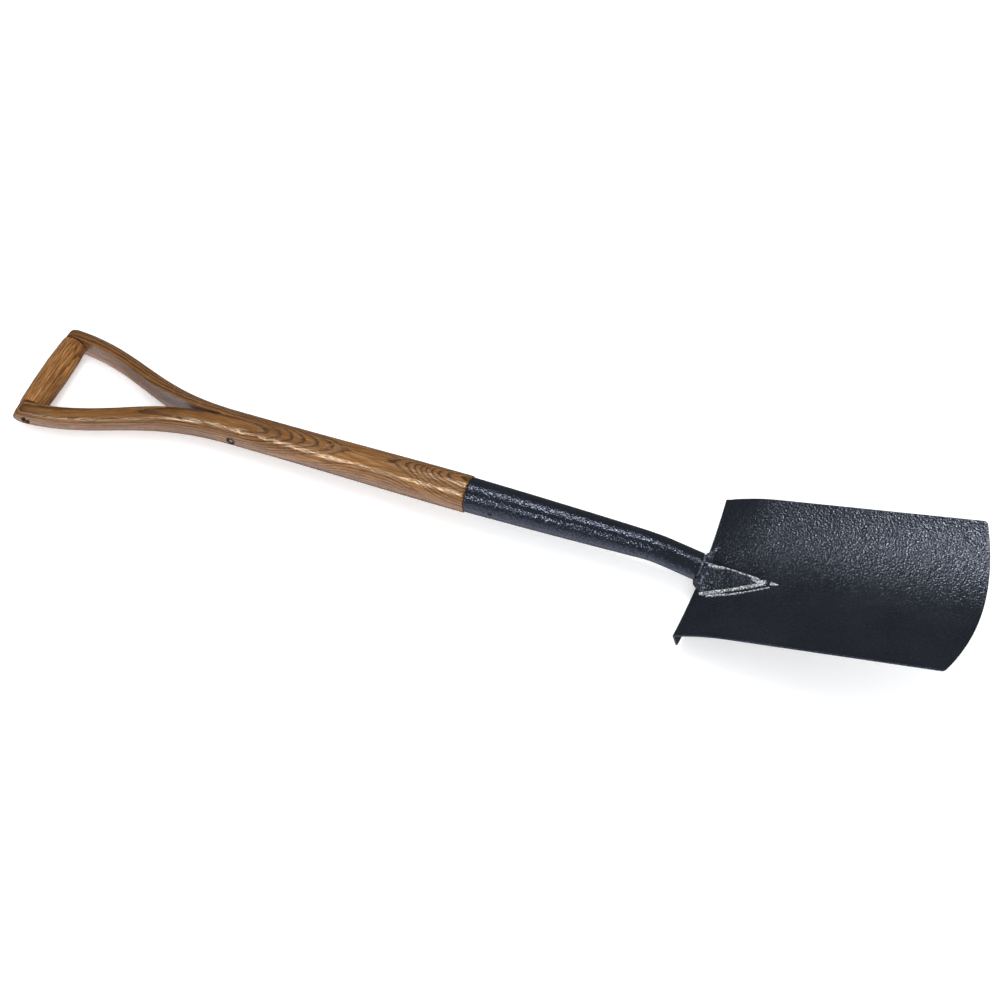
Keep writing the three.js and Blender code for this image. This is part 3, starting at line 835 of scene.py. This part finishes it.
def shaft_stations():
    """(u, radius) down the round part of the wood, from inside the socket to the fork."""
    shoulder = SOCKET_MOUTH + 0.6
    inside = [(SHAFT_START, wood_radius(SHAFT_START) - 1)]
    inside += [(u, wood_radius(u)) for u in spread(12, SHAFT_START + 1, SOCKET_MOUTH - 2)]
    step = [(shoulder, wood_radius(SOCKET_MOUTH - 2))]
    rounding = 1.6
    for degrees in (0, 20, 40, 60, 80):
        a = math.radians(degrees)
        radius = SHOULDER_RADIUS - rounding * (1 - math.sin(a))
        step.append((shoulder + rounding * (1 - math.cos(a)), radius))
    outside = [(u, wood_radius(u)) for u in spread(90, shoulder + 3, FORK_START - 2)]
    return inside + step + outside


def arm_section(t):
    """Inner and outer plan points, half height and squareness of an arm at t."""
    inner = bezier(ARM_INNER, t)
    outer = bezier(ARM_OUTER, t)
    blend = smoothstep(t, 0, ARM_CHANGE)
    height = lerp(SHAFT_RADIUS, ARM_HALF_HEIGHT, blend)
    return inner, outer, height, lerp(1, ARM_SQUARENESS, blend)


def arm_share_at(u):
    """The t at which the arm's inner line reaches u."""
    low, high = 0.0, 1.0
    for _ in range(40):
        middle = (low + high) / 2
        if bezier(ARM_INNER, middle).x < u:
            low = middle
        else:
            high = middle
    return low


HALF_SIDES = 36
FLAT_SIDES = 12


def half_ring(inner, outer, height, power, side):
    """Round outer side of one half of the handle, from its lower edge to its upper edge."""
    ring = []
    for i in range(HALF_SIDES + 1):
        a = math.pi * i / HALF_SIDES - math.pi / 2
        reach = max(math.cos(a), 0) ** power if 0 < i < HALF_SIDES else 0.0
        rise = math.copysign(abs(math.sin(a)) ** power, a)
        plan = inner.lerp(outer, reach)
        ring.append(Vector((-plan.x, side * plan.y, height * rise)))
    return ring


def flat_line(ring):
    """Points down the flat inner face, from the ring's upper edge to its lower edge."""
    return [ring[-1].lerp(ring[0], t) for t in spread(FLAT_SIDES + 1)[1:-1]]


def rounded_end(point):
    """Rounds the arms' ends about the grip bar's axis."""
    past = -point.x - GRIP_POSITION
    if past <= 0:
        return point
    share = math.sqrt(max(ARM_END_RADIUS**2 - past**2, 0)) / ARM_END_RADIUS
    pull = ARM_CORNER_PULL * (1 - share) ** 2
    outside = clamp((abs(point.y) - ARM_CORNER_START) / ARM_CORNER_RUN)
    y = point.y - math.copysign(pull * outside, point.y)
    return Vector((point.x, y, point.z * share))


def handle_sections():
    """Sections of one half of the wood from the socket to the end of its arm, each with inner
    and outer plan points, half height, squareness and whether the arms are apart there."""
    cut_start = arm_share_at(SAW_CUT_END)
    arm_end = arm_share_at(GRIP_POSITION + ARM_END_RADIUS - 0.15)
    fine_end = 0.012
    sections = []
    for u, radius in shaft_stations():
        sections.append((Vector((u, 0)), Vector((u, radius)), radius, 1.0, False))
    steps = spread(8, 0, cut_start)[:-1]
    steps += spread(110, cut_start, arm_end - fine_end)
    steps += spread(12, arm_end - fine_end, arm_end)[1:]
    for t in steps:
        inner, outer, height, power = arm_section(t)
        split = t > cut_start
        if not split:
            inner = Vector((inner.x, 0))
        sections.append((inner, outer, height, power, split))
    return sections


def handle_skin():
    """Points and faces of the whole wooden handle: two halves that share their seam up to the
    end of the saw cut, and have flat inner faces of their own from there."""
    sections = handle_sections()
    first_flat = next(i for i, section in enumerate(sections) if section[-1]) - 1
    points, index = [], {}

    def vertex(key, place):
        if key not in index:
            index[key] = len(points)
            points.append(rounded_end(place))
        return index[key]

    grids = {}
    for side in (-1, 1):
        for k, (inner, outer, height, power, split) in enumerate(sections):
            ring = half_ring(inner, outer, height, power, side)
            owner = side if split else 0
            row = []
            for i, place in enumerate(ring):
                edge = i in (0, HALF_SIDES)
                row.append(vertex((k, owner if edge else side, i), place))
            if k >= first_flat:
                for j, place in enumerate(flat_line(ring)):
                    row.append(vertex((k, owner, "flat", j), place))
            grids[side, k] = row
    faces = []
    for side in (-1, 1):
        for k in range(len(sections) - 1):
            low, high = grids[side, k], grids[side, k + 1]
            for i in range(HALF_SIDES):
                faces.append((low[i], low[i + 1], high[i + 1], high[i]))
            if k >= first_flat:
                low_flat = low[HALF_SIDES:] + low[:1]
                high_flat = high[HALF_SIDES:] + high[:1]
                for i in range(len(low_flat) - 1):
                    faces.append((low_flat[i], low_flat[i + 1], high_flat[i + 1], high_flat[i]))
        faces.append(tuple(grids[side, len(sections) - 1]))
    faces.append(tuple(grids[-1, 0] + grids[1, 0][-2:0:-1]))
    return points, faces


def drill(obj, position, inner, outer):
    """Bores the counterbores of a rivet along y, from inner to outer on both sides."""
    for side in (-1, 1):
        profile = [(COUNTERBORE_RADIUS, side * inner), (COUNTERBORE_RADIUS, side * outer)]
        points, faces = loft(lathe(profile, 48))
        mesh = bpy.data.meshes.new("drill")
        mesh.from_pydata([HANDLE @ p for p in on_handle(points, position)], [], faces)
        tidy_mesh(mesh)
        tool = bpy.data.objects.new("drill", mesh)
        bpy.context.scene.collection.objects.link(tool)
        bore = obj.modifiers.new("bore", "BOOLEAN")
        bore.operation = "DIFFERENCE"
        bore.solver = "EXACT"
        bore.object = tool
        apply_modifiers(obj)
        bpy.data.objects.remove(tool)
        bpy.data.meshes.remove(mesh)


def add_grain(obj, to_log):
    """Stores where each vertex lay in the straight log before the wood was shaped."""
    mesh = obj.data
    back = HANDLE.inverted()
    grain = mesh.attributes.new("grain", "FLOAT_VECTOR", "POINT")
    for vertex, item in zip(mesh.vertices, grain.data):
        item.vector = to_log(back @ vertex.co)


def shaft_log():
    """Straightens the arms: across the grain, a place is as far out as from its inner face."""
    line = [bezier(ARM_INNER, t) for t in spread(200)]

    def to_log(place):
        u = -place.x
        bend = 0.0
        if u > SAW_CUT_END:
            ahead = next((q for q in line if q.x > u), line[-1])
            bend = ahead.y
        across = math.copysign(max(abs(place.y) - bend, 0.0), place.y)
        return Vector((u, across, place.z))

    return to_log


def bar_log(place):
    """The cross bar's grain runs across the handle."""
    along_from = 400
    return Vector((place.y + along_from, place.x + GRIP_POSITION, place.z))


def make_handle(material):
    past_arm, past_shaft = 80, 30
    points, faces = handle_skin()
    handle = make_piece("handle_wood", points, faces, HANDLE, material, ["shaft"])
    drill(handle, GRIP_RIVET, GRIP_BORE_FLOOR, past_arm)
    drill(handle, FORK_RIVET, FORK_BORE_FLOOR, past_shaft)
    sharpen(handle, 38)
    add_grain(handle, shaft_log())


def make_grip(material):
    """The barrel-shaped cross bar, a little uneven by hand, with its tenons."""
    end = GRIP_HALF + TENON_LENGTH
    profile = [(POLE / 2, -end), (TENON_RADIUS, -end), (TENON_RADIUS, -GRIP_HALF)]
    for t in spread(61, -1, 1):
        profile.append((lerp(GRIP_MID_RADIUS, GRIP_END_RADIUS, t * t), t * GRIP_HALF))
    profile += [(TENON_RADIUS, GRIP_HALF), (TENON_RADIUS, end), (POLE / 2, end)]
    points, faces = loft(lathe(profile, 72))
    shaped = []
    for p in points:
        uneven = 1 + 0.006 * math.sin(p.y * 0.09) + 0.004 * math.sin(p.y * 0.23 + p.x * 0.1)
        shaped.append(Vector((p.x * uneven - GRIP_POSITION, p.y, p.z * uneven)))
    grip = make_piece("grip_wood", shaped, faces, HANDLE, material, ["grip_bar"])
    sharpen(grip, 40)
    add_grain(grip, bar_log)


# ---------------------------------------------------------------- fastenings

def crowned(radius, base, height, angles):
    """Profile of a domed end: from its rim up to the middle."""
    dome = []
    for degrees in angles:
        a = math.radians(degrees)
        dome.append((radius * math.cos(a), base + height * math.sin(a)))
    dome.append((POLE, base + height))
    return dome


def make_pin(name, position, half_profile, material, stands_for):
    """A turned pin across the handle, the same on both sides."""
    profile = [(r, -y) for r, y in reversed(half_profile)] + half_profile
    points, faces = loft(lathe(profile, 40))
    moved = on_handle(points, position)
    return make_piece(name, moved, faces, HANDLE, material, stands_for)


def make_washer(name, position, floor, side, material, stands_for):
    play, thickness, chamfer, burr = 0.3, 1.2, 0.35, 0.2
    inner = RIVET_RADIUS + play
    low = floor + play
    high = low + thickness
    profile = [(inner, low), (WASHER_RADIUS, low), (WASHER_RADIUS, high - chamfer)]
    profile += [(WASHER_RADIUS - chamfer, high), (inner + burr, high), (inner, high - burr)]
    points, faces = wrap(lathe([(r, side * y) for r, y in profile], 48))
    moved = on_handle(points, position)
    washer = make_piece(name, moved, faces, HANDLE, material, stands_for)
    sharpen(washer, 30)


def make_socket_rivet(material):
    """Two low domed heads on one stem, painted with the socket."""
    node = "socket_rivet"
    low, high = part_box(node)
    half = (high[1] - low[1]) / 2 / MM
    radius = (high[0] - low[0]) / 2 / MM
    height, edge, stem_radius, sunk = 1.0, 0.2, 1.6, 0.35
    seat = half - height - sunk
    dome = crowned(radius, half - height + edge, height - edge, (15, 30, 45, 60, 75))
    outline = [(stem_radius, seat), (radius, seat), (radius, seat + edge)] + dome
    position = -(HANDLE.inverted() @ centre(node)).x
    rivet = make_pin("socket_rivet_heads", position, outline, material, [node])
    sharpen(rivet, 50)


def make_fastenings(bright, black, paint):
    crown = 0.7
    places = {"grip": (GRIP_RIVET, GRIP_BORE_FLOOR), "fork": (FORK_RIVET, FORK_BORE_FLOOR)}
    for place, (position, floor) in places.items():
        node = f"{place}_rivet"
        low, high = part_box(node)
        half = (high[1] - low[1]) / 2 / MM
        outline = crowned(RIVET_RADIUS, half - crown, crown, (0, 15, 35, 55, 75))
        make_pin(f"{node}_rod", position, outline, bright, [node])
        for word, side in (("near", -1), ("far", 1)):
            node = f"{place}_washer_{word}"
            make_washer(f"{node}_ring", position, floor, side, black, [node])
    make_socket_rivet(paint)


# ---------------------------------------------------------------- stage, lights, camera

CAMERA_PLACE = Vector((675.6, -1072.4, 1457.0))  # in the head frame, mm
CAMERA_TARGET = Vector((-263.5, 63.2, 0.0))
CAMERA_ROLL = math.radians(-23.73)
CAMERA_LENS = 66.59


def make_floor():
    """Pale floor just under the spade. It doesn't show in reflections: the studio does."""
    half_side = 60.0
    level = CAD_LOW.z - 0.2 * MM
    mesh = bpy.data.meshes.new("floor")
    corners = [(-1, -1), (1, -1), (1, 1), (-1, 1)]
    points = [(x * half_side, y * half_side, level) for x, y in corners]
    mesh.from_pydata(points, [], [(0, 1, 2, 3)])
    mesh.materials.append(floor_material("pale_floor"))
    floor = bpy.data.objects.new("floor", mesh)
    floor.visible_glossy = False
    bpy.context.scene.collection.objects.link(floor)
    floor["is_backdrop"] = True


def make_camera():
    camera = bpy.data.objects.new("camera", bpy.data.cameras.new("camera"))
    camera.data.lens = CAMERA_LENS
    camera.data.sensor_width = 36
    camera.data.clip_end = 100
    look = (CAMERA_TARGET - CAMERA_PLACE).to_track_quat("-Z", "Y").to_matrix().to_4x4()
    turn = HEAD.to_3x3().normalized().to_4x4() @ look @ Matrix.Rotation(CAMERA_ROLL, 4, "Z")
    camera.matrix_world = Matrix.Translation(HEAD @ CAMERA_PLACE) @ turn
    bpy.context.scene.collection.objects.link(camera)
    bpy.context.scene.camera = camera


def softbox(name, direction, distance, size, watts, mirrored=True, spreads=True):
    """An area light that looks at the spade from a direction, in metres and watts. Its size is
    first along the spade and then across it. Mirrored says whether it shows in reflections,
    and spreads whether it lights surfaces otherwise."""
    lamp = bpy.data.lights.new(name, "AREA")
    lamp.shape = "RECTANGLE"
    lamp.size, lamp.size_y = size
    lamp.energy = watts
    obj = bpy.data.objects.new(name, lamp)
    away = Vector(direction).normalized()
    across = away.cross(Vector((1, 0, 0))).normalized()
    turn = Matrix((across.cross(away), across, away)).transposed().to_4x4()
    obj.matrix_world = Matrix.Translation(away * distance) @ turn
    obj.visible_glossy = mirrored
    obj.visible_diffuse = spreads
    bpy.context.scene.collection.objects.link(obj)


def make_studio():
    """A dim room, with a pale sweep of paper below the spade on its near side, which only
    shows as a reflection: the floor itself hides it from everything else."""
    n = Nodes(bpy.data.worlds.new("studio"))
    side, height = n.split(n.add("ShaderNodeTexCoord"))[1:]
    near = n.remap(side, -0.5, 0.1, 1, 0)
    below = n.remap(height, -0.12, 0.02, 1, 0)
    tint = n.blend(n.times(near, below), rgb(0.138, 0.146, 0.16), rgb(1.42, 1.46, 1.70))
    light = n.add("ShaderNodeBackground", {"Color": tint})
    end = n.tree.nodes.new("ShaderNodeOutputWorld")
    n.tree.links.new(light, end.inputs["Surface"])
    bpy.context.scene.world = n.owner


def make_lights():
    softbox("key", (-0.17, 0.2, 0.97), 2.2, (0.7, 0.62), 14)
    softbox("key_core", (0.1, 0.17, 0.98), 2.1, (1.7, 0.22), 24, spreads=False)
    softbox("streak", (-0.32, -0.72, 0.6), 2.2, (1.0, 0.26), 19, spreads=False)
    softbox("fill_top", (0.1, -0.2, 1.0), 3.0, (4.5, 4.5), 52, mirrored=False)
    fills = [("near", 0.1, -1, 56), ("far", 0.1, 1, 18), ("front", 1, 0.1, 20), ("back", -1, 0.1, 20)]
    for name, x, y, watts in fills:
        softbox(f"fill_{name}", (x, y, 0.5), 2.8, (2.4, 1.4), watts, mirrored=False)


# ---------------------------------------------------------------- everything

# How far the grain of the shaft's log runs out of its top, in mm, at places along it: flames
# towards the socket, a plain stretch, flames towards the fork, and straight grain in the arms.
SHAFT_DRIFT = [
    (0, 46), (252, 30), (330, 3), (346, 0.4), (368, 0), (386, 0.6),
    (415, 6.4), (446, 13.2), (474, 20.0), (512, 25.6), (560, 27.0), (800, 27.0),
]
SHAFT_TWIST = (-0.09, 375, 530)
GRIP_DRIFT = [(0, 0), (800, 20)]
NO_TWIST = (0, 0, 0)


def build():
    blade_paint = hammered_paint("hammered_blade", 2.0, 0.32, 0.2, rgb(0.74, 0.82, 1.0))
    socket_paint = hammered_paint("hammered_socket", 2.0, 0.36, 0.13, rgb(0.68, 0.77, 1.0))
    # Pale grey patches on the welds: partly bare metal, partly painted sheen of the welds'
    # highlights.
    bare_weld_and_sheen = weld_metal("bare_weld_and_sheen", 0.42, 0.54, rgb(0.68, 0.70, 0.74))
    # Bluish grey patches on the painted welds: painted reflection of the sky, with painted glints on
    # the lumps.
    painted_weld_and_reflection = weld_metal("painted_weld_and_reflection", 0.46, 0.72, rgb(0.36, 0.42, 0.60))
    shaft_wood = ash_wood("ash_shaft", 3.4, (0.0, 38.0), SHAFT_TWIST, SHAFT_DRIFT, 1.0, 1.0)
    grip_wood = ash_wood("ash_grip", 2.8, (-60.0, -8.0), NO_TWIST, GRIP_DRIFT, 0.6, 1.55)
    bright = plated_steel("zinc_plate", (0.30, 0.26, 0.21), 0.35, 1.0)
    black = plated_steel("blackened_steel", (0.008, 0.007, 0.006), 0.5, 0.3)

    make_camera()
    make_floor()
    make_studio()
    make_lights()
    make_blade(blade_paint)
    make_socket(socket_paint)
    make_frog(blade_paint)
    make_welds(bare_weld_and_sheen, painted_weld_and_reflection, blade_paint)
    make_handle(shaft_wood)
    make_grip(grip_wood)
    make_fastenings(bright, black, socket_paint)
    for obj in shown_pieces():
        if obj.name not in frame["nodes"]:
            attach(obj, BODY)
    bpy.context.scene.view_settings.view_transform = "Standard"


build()
